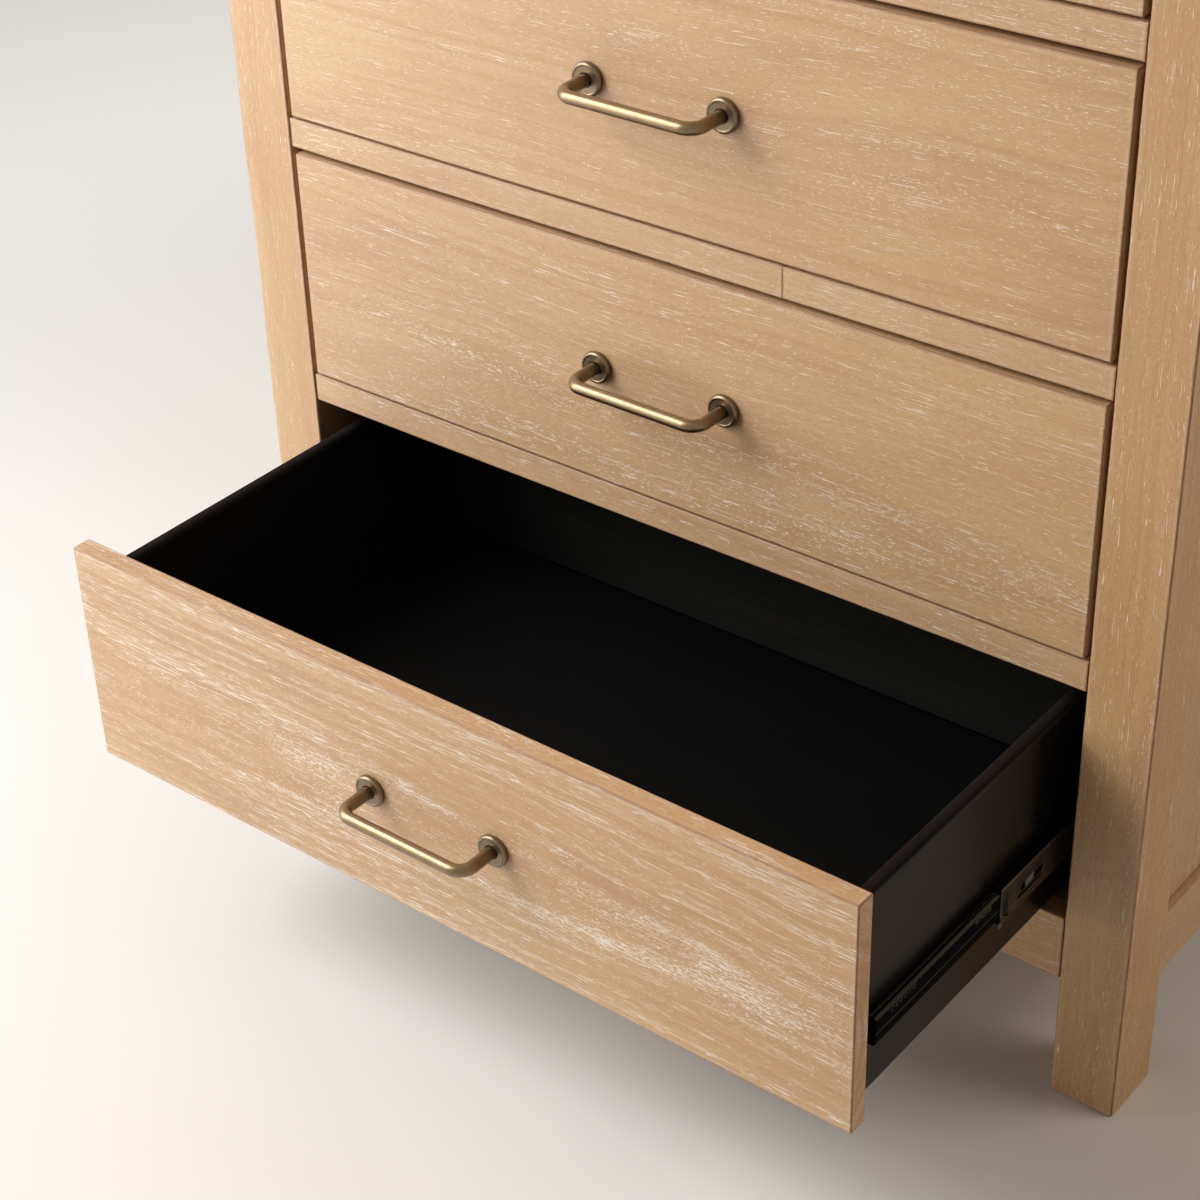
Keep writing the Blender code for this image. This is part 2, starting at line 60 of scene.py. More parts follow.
# Gaps between neighbouring boards, how deep the side panels are let in, where two lengths of a rail are
# glued, and how wide the dark joints in the drawers' boxes are
SEAM = 0.0008
FIT = 0.0003
HOUSING = 0.008
RAIL_JOINT = 0.117
BOX_JOINT = 0.0012

# What shows of the side panels and side rails, between the posts
SIDE_FRONT = POST_LOW.y + POST_DEPTH + FIT
SIDE_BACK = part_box("post_back_left")[1].y - POST_DEPTH - FIT

# The pull's bar, and the rosettes under its ends
PULL_HALF = 0.064
PULL_REACH = 0.0380
PULL_BEND = 0.0125
BAR_RADIUS = 0.0054
ROSETTE_RADIUS = 0.0142
ROSETTE_FACE = 0.0049
WELL_FLOOR = 0.0024

# Colours, as they look on a screen
OAK = {
    "plain": (0.770, 0.635, 0.498), "band": (0.746, 0.602, 0.460), "ring": (0.640, 0.475, 0.335),
    "cloud": (0.665, 0.512, 0.412), "pale": (0.800, 0.686, 0.540), "streak": (0.600, 0.436, 0.320),
    "fibre": (0.550, 0.410, 0.308), "warm": (1.0, 0.960, 0.880), "limed": (0.830, 0.725, 0.600),
    "lime": (0.935, 0.884, 0.834), "rubbed": (0.830, 0.725, 0.610), "glaze": (0.530, 0.345, 0.250),
    "speck": (0.305, 0.202, 0.141), "stain": (0.286, 0.197, 0.132)}
# Besides the stain and its fibre, these are painted light: a sheen on the outer faces of the boxes' sides, the
# look of their rounded tops, and near black on the slides' flat tops.
BLACK = {
    "stain": (0.036, 0.035, 0.033), "fibre": (0.025, 0.024, 0.023), "satin_and_painted_sheen": (0.064, 0.048, 0.034),
    "painted_top_inner": (0.085, 0.055, 0.046), "painted_top_outer": (0.006, 0.005, 0.005),
    "painted_flat_top_shade": (0.020, 0.019, 0.017)}
BRASS = {
    "bar": (0.550, 0.458, 0.338), "cloud": (0.510, 0.422, 0.306), "legs": (0.35, 0.280, 0.190),
    "rosette": (0.555, 0.490, 0.410), "patina": (0.20, 0.165, 0.125)}
# The room's warm glow near the dresser is painted bounce light on the floor.
ROOM = {
    "floor": (0.935, 0.925, 0.915), "floor_cloud": (0.945, 0.938, 0.93), "painted_bounce_glow": (1.0, 0.935, 0.885),
    "glow": (0.945, 0.932, 0.908), "backdrop": (0.815, 0.800, 0.768), "light": (1.0, 0.91, 0.82)}


# Node graphs

def srgb(red, green, blue):
    """A linear colour from one given as it looks on a screen."""
    def linear(value):
        return value / 12.92 if value <= 0.04045 else ((value + 0.055) / 1.055) ** 2.4
    return (linear(red), linear(green), linear(blue), 1.0)


class Graph:
    """Short calls for building a node tree."""

    def __init__(self, tree):
        self.tree = tree

    def add(self, kind, **settings):
        node = self.tree.nodes.new(kind)
        for key, value in settings.items():
            setattr(node, key, value)
        return node

    def feed(self, socket, value):
        """Links a socket to another one, or sets its value."""
        if isinstance(value, bpy.types.NodeSocket):
            self.tree.links.new(value, socket)
        elif value is not None:
            socket.default_value = value

    def fill(self, node, values):
        """Feeds a node's sockets by their names."""
        for name, value in values.items():
            self.feed(node.inputs[name], value)

    def math(self, operation, first, second=None, third=None, clamp=False):
        node = self.add("ShaderNodeMath", operation=operation, use_clamp=clamp)
        for socket, value in zip(node.inputs, (first, second, third)):
            self.feed(socket, value)
        return node.outputs[0]

    def times(self, first, second, clamp=False):
        return self.math("MULTIPLY", first, second, clamp=clamp)

    def plus(self, base, value, share, clamp=False):
        """base, with a share of value added to it."""
        return self.math("MULTIPLY_ADD", value, share, base, clamp=clamp)

    def larger(self, first, second):
        return self.math("MAXIMUM", first, second)

    def vector(self, operation, first, second=None):
        node = self.add("ShaderNodeVectorMath", operation=operation)
        self.feed(node.inputs[0], first)
        self.feed(node.inputs[1], second)
        return node.outputs["Value" if operation == "LENGTH" else "Vector"]

    def combine(self, x, y, z):
        node = self.add("ShaderNodeCombineXYZ")
        for socket, value in zip(node.inputs, (x, y, z)):
            self.feed(socket, value)
        return node.outputs[0]

    def separate(self, value):
        node = self.add("ShaderNodeSeparateXYZ")
        self.feed(node.inputs[0], value)
        return node.outputs

    def place(self):
        """Where a point lies, in metres in the shared frame."""
        return self.add("ShaderNodeTexCoord").outputs["Object"]

    def facing_up(self):
        """1 on a face that looks straight up, 0 on an upright one and -1 on one that looks down."""
        return self.separate(self.add("ShaderNodeNewGeometry").outputs["Normal"])[2]

    def texture(self, dimensions, place, scale, detail, roughness):
        node = self.add("ShaderNodeTexNoise", noise_dimensions=dimensions)
        where = "W" if dimensions == "1D" else "Vector"
        self.fill(node, {where: place, "Scale": scale, "Detail": detail, "Roughness": roughness})
        return node.outputs["Fac"]

    def noise(self, place, scale, detail=2.0, roughness=0.5):
        """Noise of one scale, or of its own along each axis."""
        if isinstance(scale, tuple):
            place, scale = self.vector("MULTIPLY", place, scale), 1.0
        return self.texture("3D", place, scale, detail, roughness)

    def streaks(self, place, along, across, offset=None, detail=2.0, roughness=0.5):
        """Noise drawn out along X. offset takes it from elsewhere, so that two of them differ."""
        if offset:
            place = self.vector("ADD", place, offset)
        return self.noise(place, (along, across, across), detail, roughness)

    def line_noise(self, value, scale, detail, roughness=0.5):
        return self.texture("1D", value, scale, detail, roughness)

    def cells(self, place, scale):
        """How far a point is from the middle of its cell, and three numbers of that cell's own."""
        node = self.add("ShaderNodeTexVoronoi", feature="F1")
        self.fill(node, {"Vector": self.vector("MULTIPLY", place, scale), "Scale": 1.0})
        return node.outputs["Distance"], self.separate(node.outputs["Color"])

    def step(self, value, low, high):
        """0 at low and 1 at high, smoothly; low may be the greater one."""
        node = self.add("ShaderNodeMapRange", interpolation_type="SMOOTHSTEP", clamp=True)
        ends = (1.0, 0.0) if low > high else (0.0, 1.0)
        self.fill(node, {"Value": value, "From Min": min(low, high), "From Max": max(low, high),
                         "To Min": ends[0], "To Max": ends[1]})
        return node.outputs["Result"]

    def mix(self, factor, first, second, blend="MIX"):
        node = self.add("ShaderNodeMix", data_type="RGBA", blend_type=blend)
        # The colour sockets share their names with those of the other data types
        for index, value in ((0, factor), (6, first), (7, second)):
            self.feed(node.inputs[index], value)
        return node.outputs[2]

    def tint(self, tone, colour, mask, amount=1.0):
        """tone, turned towards a screen colour by amount where mask is 1."""
        return self.mix(self.times(mask, amount), tone, srgb(*colour))


def new_material(name):
    material = bpy.data.materials.new(name)
    material.use_nodes = True
    graph = Graph(material.node_tree)
    return material, graph, material.node_tree.nodes["Principled BSDF"]


def bump(graph, shader, height, distance, strength):
    node = graph.add("ShaderNodeBump")
    graph.fill(node, {"Height": height, "Distance": distance, "Strength": strength})
    graph.feed(shader.inputs["Normal"], node.outputs[0])


# Wood

def bent_grain(g, grain):
    """A point's place in the grain, which wanders a little, and how far it is from the tree's middle."""
    drift = g.streaks(grain, along=1.6, across=7.0, detail=1.0)
    ripple = g.streaks(grain, along=14.0, across=60.0, detail=1.0)
    wander = g.streaks(grain, along=4.5, across=9.0)
    x, y, z = g.separate(grain)
    y = g.math("ADD", y, g.plus(g.times(ripple, 0.0022), drift, 0.045))
    radius = g.vector("LENGTH", g.combine(0.0, y, z))
    radius = g.math("ADD", radius, g.plus(g.times(wander, 0.022), x, 0.020))
    return (x, y, z), radius


def bare_wood(g, bent, radius, warm):
    """The wood's colour under the lime, and the noises that its gloss and relief follow too."""
    bands = g.line_noise(radius, 105.0, detail=3.0, roughness=0.6)
    rings = g.line_noise(radius, 420.0, detail=1.0)
    cloud = g.streaks(bent, along=4.2, across=17.0, detail=3.0, roughness=0.6)
    pale = g.streaks(bent, along=2.9, across=11.0, offset=(3.1, 0.7, 1.9))
    streak = g.streaks(bent, along=5.0, across=130.0, detail=4.0, roughness=0.7)
    fibre = g.streaks(bent, along=120.0, across=1050.0, detail=3.0, roughness=0.8)
    tone = g.mix(g.step(bands, 0.30, 0.74), srgb(*OAK["plain"]), srgb(*OAK["band"]))
    tone = g.tint(tone, OAK["ring"], g.step(rings, 0.50, 0.78), 0.08)
    tone = g.tint(tone, OAK["cloud"], g.step(cloud, 0.50, 0.74), 0.34)
    tone = g.tint(tone, OAK["pale"], g.step(pale, 0.46, 0.70), 0.42)
    tone = g.tint(tone, OAK["streak"], g.step(streak, 0.53, 0.76), 0.14)
    tone = g.tint(tone, OAK["fibre"], g.step(fibre, 0.50, 0.66), 0.30)
    warmed = g.mix(1.0, tone, srgb(*OAK["warm"]), "MULTIPLY")
    return g.mix(warm, tone, warmed), cloud, streak, fibre


def limed_pores(g, grain, place, radius, white):
    """White lime in the pores of the early wood, and how dense it is about a point.

    Next to the tree's middle the pores are cut across and short, and elsewhere they run on.
    """
    x, y, z = place
    patch = g.streaks(g.combine(x, y, z), along=3.6, across=15.0, offset=(7.7, 2.3, 4.1), detail=3.0,
                      roughness=0.65)
    jag = g.streaks(grain, along=120.0, across=420.0)
    early = g.line_noise(g.plus(g.math("ADD", radius, 3.3), jag, 0.0045), 115.0, detail=1.0)
    dense = g.plus(g.plus(g.times(early, 0.38), patch, 0.62), white, 0.08)
    dense = g.times(g.step(dense, 0.50, 0.70), white)
    cut_across = g.step(g.math("DIVIDE", g.math("ABSOLUTE", y), radius), 0.62, 0.22)
    jagged = g.combine(x, g.plus(y, jag, 0.0007), z)

    def pores(marks, lift, share, low, high):
        """One kind of mark, with more of them by share where lift is 1."""
        return g.step(g.plus(marks, lift, share), low, high)

    worms = g.streaks(jagged, along=52.0, across=900.0, offset=(1.3, 4.7, 8.9), roughness=0.55)
    lines = g.streaks(jagged, along=23.0, across=1150.0, offset=(5.3, 0.7, 1.9), roughness=0.6)
    bits = g.streaks(jagged, along=260.0, across=1200.0, offset=(6.1, 3.7, 2.9), detail=1.0)
    worms = pores(worms, dense, 0.090, 0.690, 0.725)
    lines = pores(lines, dense, 0.068, 0.674, 0.706)
    bits = pores(bits, g.times(dense, cut_across), 0.125, 0.705, 0.745)
    lime = g.larger(worms, g.times(g.larger(lines, bits), 0.9))
    return g.times(lime, g.step(white, 0.0, 0.5), clamp=True), dense


def worn_arrises(g, tone, grain, edge, glaze):
    """Dark glaze in a ragged line along the edges, and a rubbed pale line beside it."""
    ragged = 0.0014
    nibble = g.streaks(grain, along=60.0, across=260.0, detail=3.0, roughness=0.6)
    reach = g.plus(g.math("ADD", edge, ragged / 2), nibble, -ragged)
    fade = g.plus(0.20, g.step(nibble, 0.22, 0.50), 0.35)
    line = g.times(g.step(reach, 0.0020, 0.0005), g.times(fade, glaze), clamp=True)
    beside = g.times(g.step(reach, 0.0015, 0.0022), g.step(reach, 0.0050, 0.0030))
    beside = g.times(beside, g.times(g.step(nibble, 0.30, 0.55), 0.26))
    return g.tint(g.tint(tone, OAK["rubbed"], beside), OAK["glaze"], line)


def wood_group():
    """Cerused wood. Grain runs along the vector's X, and the tree's middle lies on its X axis."""
    tree = bpy.data.node_groups.new("cerused_wood", "ShaderNodeTree")
    kinds = {"Grain": "Vector", "Color": "Color"}
    for side, names in (("INPUT", ("Grain", "Edge", "White", "Dark", "Warm", "Glaze")),
                        ("OUTPUT", ("Color", "Roughness", "Height"))):
        for name in names:
            kind = "NodeSocket" + kinds.get(name, "Float")
            tree.interface.new_socket(name, in_out=side, socket_type=kind)
    g = Graph(tree)
    source = g.add("NodeGroupInput").outputs
    grain = source["Grain"]
    place, radius = bent_grain(g, grain)
    tone, cloud, streak, fibre = bare_wood(g, g.combine(*place), radius, source["Warm"])
    lime, dense = limed_pores(g, grain, place, radius, source["White"])
    tone = g.tint(tone, OAK["limed"], dense, 0.08)
    tone = g.tint(tone, OAK["lime"], lime, 0.84)
    tone = worn_arrises(g, tone, grain, source["Edge"], source["Glaze"])

    # A few dark pin specks, and a darker brown where asked for: on end grain, and on the boards inside the
    # carcase.
    speck, numbers = g.cells(grain, (60.0, 75.0, 75.0))
    speck = g.times(g.step(speck, 0.060, 0.030), g.math("LESS_THAN", numbers[2], 0.05))
    tone = g.tint(tone, OAK["speck"], speck, 0.6)
    tone = g.tint(tone, OAK["stain"], source["Dark"])

    rough = g.plus(g.plus(0.36, cloud, 0.14), lime, 0.16)
    height = g.plus(g.plus(g.times(streak, 0.35), fibre, 0.35), lime, -0.30)
    g.fill(g.add("NodeGroupOutput"), {"Color": tone, "Roughness": rough, "Height": height})
    return tree


WOOD = wood_group()


def arris_distance(graph, low, high):
    """A point's place, and how far it is from a box's nearest edge and from each pair of its sides."""
    place = graph.place()
    middle = (Vector(low) + Vector(high)) / 2
    half = (Vector(high) - Vector(low)) / 2
    away = graph.vector("ABSOLUTE", graph.vector("SUBTRACT", place, tuple(middle)))
    reach = graph.separate(graph.vector("SUBTRACT", tuple(half), away))
    x, y, z = reach
    inner = graph.math("MINIMUM", graph.larger(x, y), z)
    return place, graph.larger(graph.math("MINIMUM", x, y), inner), reach


def wood(name, low, high, axis, heart, white, slide=0.0, dark=0.0, warm=0.3, glaze=1.0, redder=0.0):
    """Wood with its grain along one axis.

    heart is how far the tree's middle lies across and behind, and slide the board's place along the tree.
    white is the share of lime, dark of a darker brown, warm of a warm tone, and glaze of the dark line along
    the edges. redder is what its right end has more of warm.
    """
    material, g, shader = new_material(name + "_oak")
    place, edge, reach = arris_distance(g, low, high)
    middle = (Vector(low) + Vector(high)) / 2
    parts = g.separate(g.vector("SUBTRACT", place, tuple(middle)))
    order = {0: (0, 2, 1), 1: (1, 2, 0), 2: (2, 0, 1)}[axis]
    turned = g.combine(*(parts[index] for index in order))
    if redder:
        warm = g.plus(warm, g.step(g.separate(place)[0], -INNER_HALF, INNER_HALF), redder)
    end_grain = g.step(reach[axis], 0.0009, 0.0002)
    group = g.add("ShaderNodeGroup", node_tree=WOOD)
    grain = g.vector("ADD", turned, (slide, *heart))
    g.fill(group, {"Grain": grain, "Edge": edge, "White": white, "Dark": g.plus(dark, end_grain, 0.09),
                   "Warm": g.plus(warm, end_grain, 0.7), "Glaze": glaze})
    g.fill(shader, {"Base Color": group.outputs["Color"], "Roughness": group.outputs["Roughness"],
                    "Specular IOR Level": 0.48})
    bump(g, shader, group.outputs["Height"], 0.0004, 0.55)
    return material


# Other materials

def black_stain(name, axis, specular, light=1.0, satin_and_painted_sheen=None):
    """Matt black stain on wood, light times as bright as the darkest. A light above 1 is painted light.

    Where satin is given, the faces that lie further out than that shine a little and have a painted sheen:
    cloudy brown patches for their soft reflection.
    The edges that look up are matt and are painted with light in place of a highlight: dim and warm on the
    inside, and near black on the outside.
    """
    material, g, shader = new_material(name)
    place = g.place()
    scale = [260.0, 260.0, 260.0]
    scale[axis] = 6.0
    fibre = g.noise(place, tuple(scale), detail=4.0, roughness=0.65)
    cloud = g.noise(place, 9.0, detail=3.0)
    first, second = (srgb(*(light * part for part in BLACK[kind])) for kind in ("stain", "fibre"))
    tone = g.mix(g.step(fibre, 0.35, 0.70), first, second)
    rough = g.plus(0.56, cloud, 0.12)
    if satin_and_painted_sheen:
        shine = g.step(g.math("ABSOLUTE", g.separate(place)[0]), satin_and_painted_sheen - 0.0015, satin_and_painted_sheen)
        # Painted sheen: the outer faces turn towards a lighter brown in cloudy patches, for their soft
        # reflection.
        tone = g.tint(tone, BLACK["satin_and_painted_sheen"], shine, g.step(cloud, 0.40, 0.65))
        rough = g.plus(rough, shine, -0.34)
        # Painted light on the tops: the rounded edges that look up get a dim warm tone inside and near black
        # outside, in place of a highlight.
        up = g.step(g.facing_up(), 0.20, 0.70)
        tone = g.mix(up, tone, g.mix(shine, srgb(*BLACK["painted_top_inner"]), srgb(*BLACK["painted_top_outer"])))
        rough = g.plus(rough, up, 0.50, clamp=True)
    g.fill(shader, {"Base Color": tone, "Roughness": rough, "Specular IOR Level": specular})
    bump(g, shader, fibre, 0.0001, 0.4)
    return material


def antique_brass(name, back):
    """Brass rubbed bright on the bar and left dark in the recesses next to the drawer, which is at back."""
    material, g, shader = new_material(name)
    place = g.place()
    cloud = g.noise(place, 110.0, detail=4.0, roughness=0.6)
    blotch = g.noise(place, 300.0, detail=3.0, roughness=0.7)
    brushed = g.noise(place, (60.0, 700.0, 3200.0))
    depth = g.math("SUBTRACT", back, g.separate(place)[1])
    legs = g.step(depth, PULL_REACH - 0.5 * PULL_BEND, PULL_REACH - 1.2 * PULL_BEND)
    rosette = g.step(depth, 0.0060, 0.0050)
    recess = g.times(g.step(depth, 0.0110, 0.0050), g.step(depth, 0.0045, 0.0048))
    patina = g.times(recess, g.step(blotch, 0.36, 0.66), clamp=True)
    tone = g.mix(g.step(cloud, 0.30, 0.72), srgb(*BRASS["bar"]), srgb(*BRASS["cloud"]))
    tone = g.tint(tone, BRASS["legs"], legs, 0.45)
    tone = g.tint(tone, BRASS["rosette"], rosette, 0.35)
    tone = g.tint(tone, BRASS["patina"], patina, 0.60)
    rough = g.plus(g.plus(0.35, rosette, 0.02), cloud, 0.06)
    g.fill(shader, {"Base Color": tone, "Roughness": rough, "Metallic": 1.0, "Coat Weight": 0.5,
                    "Coat Roughness": 0.30})
    bump(g, shader, g.plus(cloud, brushed, 0.5), 0.00003, 0.25)
    return material


def coated(name, colour, second, roughness, metallic=0.0, scale=60.0, specular=0.5, above=None):
    """Thin paint, plating or plastic with a faint mottle and fine scratches along the slide.

    above is a painted highlight: the colour of the round edges that look up, where it differs. The flat tops
    get painted shade then, near black.
    """
    material, g, shader = new_material(name)
    place = g.place()
    cloud = g.noise(place, scale, detail=4.0, roughness=0.6)
    scratch = g.noise(place, (2200.0, 30.0, 2200.0))
    tone = g.mix(g.step(cloud, 0.32, 0.70), srgb(*colour), srgb(*second))
    if above:
        # Painted light by facing: a painted highlight on the round edges that look up, and painted shade on
        # the flat tops.
        up = g.facing_up()
        tone = g.tint(tone, above, g.step(up, 0.12, 0.40), g.step(up, 0.97, 0.86))
        tone = g.tint(tone, BLACK["painted_flat_top_shade"], g.step(up, 0.95, 0.99))
    g.fill(shader, {"Base Color": tone, "Roughness": g.plus(roughness, cloud, 0.14), "Metallic": metallic,
                    "Specular IOR Level": specular})
    bump(g, shader, g.plus(cloud, scratch, 0.4), 0.00006, 0.4)
    return material


BLACK_BOTTOM = black_stain("black_bottom", 0, 0.11)
# Painted light: the back boards take a lighter copy of the bottoms' black stain, for the light that falls on
# them.
BLACK_BACK_PAINTED_LIGHTER = black_stain("black_back_painted_lighter", 0, 0.19, light=3.2)
BLACK_SIDE = black_stain("black_side", 1, 0.19, satin_and_painted_sheen=BOX_FACE - 0.0004)
JOINT_GAP = coated("box_joints", (0.022, 0.022, 0.020), (0.006, 0.006, 0.006), 0.80, scale=700.0,
                   specular=0.02)
STEEL = coated("slide_black", (0.175, 0.145, 0.112), (0.140, 0.116, 0.090), 0.30, metallic=0.70,
               above=(0.330, 0.305, 0.265))
# Painted shade: a near black, matt copy of the slides' black for the drawer's member, which lies in shade.
STEEL_SHADED = coated("slide_black_painted_shade", (0.012, 0.012, 0.010), (0.008, 0.008, 0.007), 0.62, specular=0.03,
                    above=(0.270, 0.255, 0.220))
# Painted highlight: a pale steel for the slides' bright edges, used for the frames round openings, the front
# nose and the stop tab.
EDGE_HIGHLIGHT = coated("slide_painted_edge_highlight", (0.410, 0.392, 0.358), (0.325, 0.312, 0.286), 0.42, metallic=0.4)
PLASTIC = coated("slide_plastic", (0.040, 0.038, 0.035), (0.028, 0.027, 0.025), 0.50, scale=220.0,
                 specular=0.15)
SHADOW = coated("slide_window", (0.010, 0.010, 0.010), (0.006, 0.006, 0.006), 0.80, specular=0.02)
PALE = coated("slide_latch", (0.36, 0.36, 0.345), (0.28, 0.28, 0.27), 0.45, scale=300.0)
BRIGHT = coated("slide_cage", (0.24, 0.23, 0.21), (0.18, 0.17, 0.16), 0.34, metallic=1.0, scale=200.0)


# Shapes

def mesh_of(shape, name):
    """A mesh with what a bmesh holds."""
    mesh = bpy.data.meshes.new(name)
    shape.to_mesh(mesh)
    shape.free()
    return mesh


def add_object(name, data):
    made = bpy.data.objects.new(name, data)
    bpy.context.scene.collection.objects.link(made)
    return made


def add_piece(name, shape, material, body, replaces=()):
    """Makes an object of a finished bmesh, smooth over its curved parts and flat over its flat ones."""
    same_place = 0.0000015
    bmesh.ops.remove_doubles(shape, verts=shape.verts, dist=same_place)
    bmesh.ops.dissolve_degenerate(shape, edges=shape.edges, dist=same_place)
    bmesh.ops.recalc_face_normals(shape, faces=shape.faces)
    mesh = mesh_of(shape, name)
    mesh.materials.append(material)
    mesh.shade_smooth()
    piece = add_object(name, mesh)
    soft = piece.modifiers.new("flat_faces", "WEIGHTED_NORMAL")
    soft.weight = 100
    soft.keep_sharp = True
    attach(piece, body)
    for node in replaces:
        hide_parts(node)
    return piece


def skin(shape, rings, capped=True):
    """Quads between neighbouring closed rings, and a face over each end."""
    for first, second in zip(rings, rings[1:]):
        count = len(first)
        for index in range(count):
            after = (index + 1) % count
            shape.faces.new((first[index], first[after], second[after], second[index]))
    if capped:
        shape.faces.new(list(reversed(rings[0])))
        shape.faces.new(rings[-1])


def corner_ring(half_a, half_b, radii, steps):
    """Points round a rectangle whose four corners are rounded, each by its own radius."""
    points = []
    signs = ((1, 1), (-1, 1), (-1, -1), (1, -1))
    for index, (sign_a, sign_b) in enumerate(signs):
        radius = max(radii[index], 0.0)
        for step in range(steps + 1):
            angle = math.radians(90 * (index + step / steps))
            points.append((sign_a * (half_a - radius) + radius * math.cos(angle),
                           sign_b * (half_b - radius) + radius * math.sin(angle)))
    return points


def stations(start, stop, end, spacing, steps):
    """Places along a board, each with how far its sides are drawn in there, and if its edges wear there."""
    turns = [math.radians(90 * step / steps) for step in range(steps + 1)]
    straight = stop - start - 2 * end
    count = max(2, round(straight / spacing))
    places = [(start + end * (1 - math.cos(turn)), end * (1 - math.sin(turn)), False) for turn in turns]
    places += [(start + end + straight * step / count, 0.0, True) for step in range(1, count)]
    places += [(stop - end * (1 - math.sin(turn)), end * (1 - math.cos(turn)), False) for turn in turns]
    return places


def worn(radius, corner, along, wear, seed):
    """The radius of a board's edge at one place along it, which is rubbed unevenly."""
    broad = noise.noise(Vector((along * 9.0, corner * 7.3, seed)))
    fine = noise.noise(Vector((along * 55.0, corner * 3.1, seed + 20.0)))
    return radius * max(0.45, 1.0 + wear * (0.9 * broad + 0.8 * fine))


def board(name, low, high, axis, radii, end, material, body, replaces=(), wear=0.0, spacing=0.014,
          seed=0.0, steps=5):
    """A board with its length along one axis, its long edges rounded by radii and its ends by end.

    radii go with the corners (+,+), (-,+), (-,-), (+,-) of the two axes across, in X, Y, Z order.
    """
    low, high = Vector(low), Vector(high)
    across = [index for index in range(3) if index != axis]
    middle = (low + high) / 2
    half = (high - low) / 2
    shape = bmesh.new()
    rings = []
    for along, inset, wears in stations(low[axis], high[axis], end, spacing, steps):
        local = []
        for corner, radius in enumerate(radii):
            if wears and wear:
                radius = worn(radius, corner, along, wear, seed)
            local.append(max(radius - inset, 0.0))
        ring = []
        for a, b in corner_ring(half[across[0]] - inset, half[across[1]] - inset, local, steps):
            place = Vector((0.0, 0.0, 0.0))
            place[axis] = along
            place[across[0]] = middle[across[0]] + a
            place[across[1]] = middle[across[1]] + b
            ring.append(shape.verts.new(place))
        rings.append(ring)
    skin(shape, rings)
    return add_piece(name, shape, material, body, replaces)


def lathe(shape, profile, place, steps=64):
    """Turns (radius, height) points round an axis that stands out towards -Y."""
    rings = []
    for radius, height in profile:
        if radius == 0.0:
            rings.append([shape.verts.new((place.x, place.y - height, place.z))])
            continue
        ring = []
        for step in range(steps):
            angle = 2 * math.pi * step / steps
            ring.append(shape.verts.new((place.x + radius * math.cos(angle), place.y - height,
                                         place.z + radius * math.sin(angle))))
        rings.append(ring)
    for first, second in zip(rings, rings[1:]):
        for step in range(steps):
            after = (step + 1) % steps
            if len(first) == 1:
                shape.faces.new((first[0], second[after], second[step]))
            elif len(second) == 1:
                shape.faces.new((first[step], first[after], second[0]))
            else:
                shape.faces.new((first[step], first[after], second[after], second[step]))


def arc(centre, radius, start, end, steps):
    """Points along a part of a circle, between two angles in degrees."""
    points = []
    for step in range(steps + 1):
        angle = math.radians(start + (end - start) * step / steps)
        points.append((centre[0] + radius * math.cos(angle), centre[1] + radius * math.sin(angle)))
    return points


def tube(shape, path, radius, sides):
    """A round bar along a path in a level plane, with its ends closed."""
    up = Vector((0.0, 0.0, 1.0))
    rings = []
    for index, point in enumerate(path):
        before = path[max(index - 1, 0)]
        after = path[min(index + 1, len(path) - 1)]
        side = (after - before).normalized().cross(up).normalized()
        ring = []
        for step in range(sides):
            angle = 2 * math.pi * step / sides
            outward = math.cos(angle) * side + math.sin(angle) * up
            ring.append(shape.verts.new(point + radius * outward))
        rings.append(ring)
    skin(shape, rings)


# Frame

def oak_board(name, low, high, axis, heart, edge, end=None, body="cabinet", replaces=None, wear=0.0,
              spacing=0.014, seed=0.0, **finish):
    """A board of cerused wood. edge rounds its long edges, and end its ends where they differ."""
    material = wood(name, low, high, axis, heart, **finish)
    board("shown_" + name, low, high, axis, (edge,) * 4, edge if end is None else end, material, body,
          (name,) if replaces is None else replaces, wear=wear, spacing=spacing, seed=seed)


def make_post(place, hand, number):
    name = f"post_{place}_{hand}"
    heart = (0.062, -0.04) if number % 2 else (-0.05, 0.034)
    oak_board(name, *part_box(name), 2, heart, 0.0022, wear=0.55, spacing=0.008, seed=4.0 * number, white=0.50,
              slide=1.7 * number, warm=0.95 if hand == "right" else 0.30, glaze=1.5)


def make_rail(name, number, joint=None):
    """A rail between the posts. joint is where two lengths of it are glued end to end."""
    low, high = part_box(name)
    ends = [-INNER_HALF + SEAM, INNER_HALF - SEAM]
    if joint is not None:
        ends.insert(1, joint)
    for part, (left, right) in enumerate(zip(ends, ends[1:])):
        low.x, high.x = left, right
        heart = (0.03 + 0.011 * number + 0.05 * part, 0.045 - 0.02 * part)
        oak_board(name + "_right" if part else name, low, high, 0, heart, 0.0014, end=0.0004,
                  replaces=() if part else (name,), wear=0.35, spacing=0.012, seed=30.0 + number, white=0.55,
                  slide=3.1 * number + 1.7 * part, warm=0.5 if name == "apron_front" else 0.0, redder=0.35)


def make_side_rail(level, hand, number):
    name = f"rail_side_{level}_{hand}"
    low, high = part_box(name)
    low.y, high.y = SIDE_FRONT, SIDE_BACK
    oak_board(name, low, high, 1, (0.03, 0.05), 0.0020, end=0.0010, wear=0.35, spacing=0.012,
              seed=50.0 + number, white=0.6, slide=2.3 * number)


def make_side_panel(hand):
    name = "panel_side_" + hand
    low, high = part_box(name)
    low.y, high.y = SIDE_FRONT, SIDE_BACK
    low.z += HOUSING + FIT
    high.z -= HOUSING + FIT
    oak_board(name, low, high, 2, (0.02, 0.06), 0.0004, white=0.7, slide=5.5 if hand == "left" else 7.9)


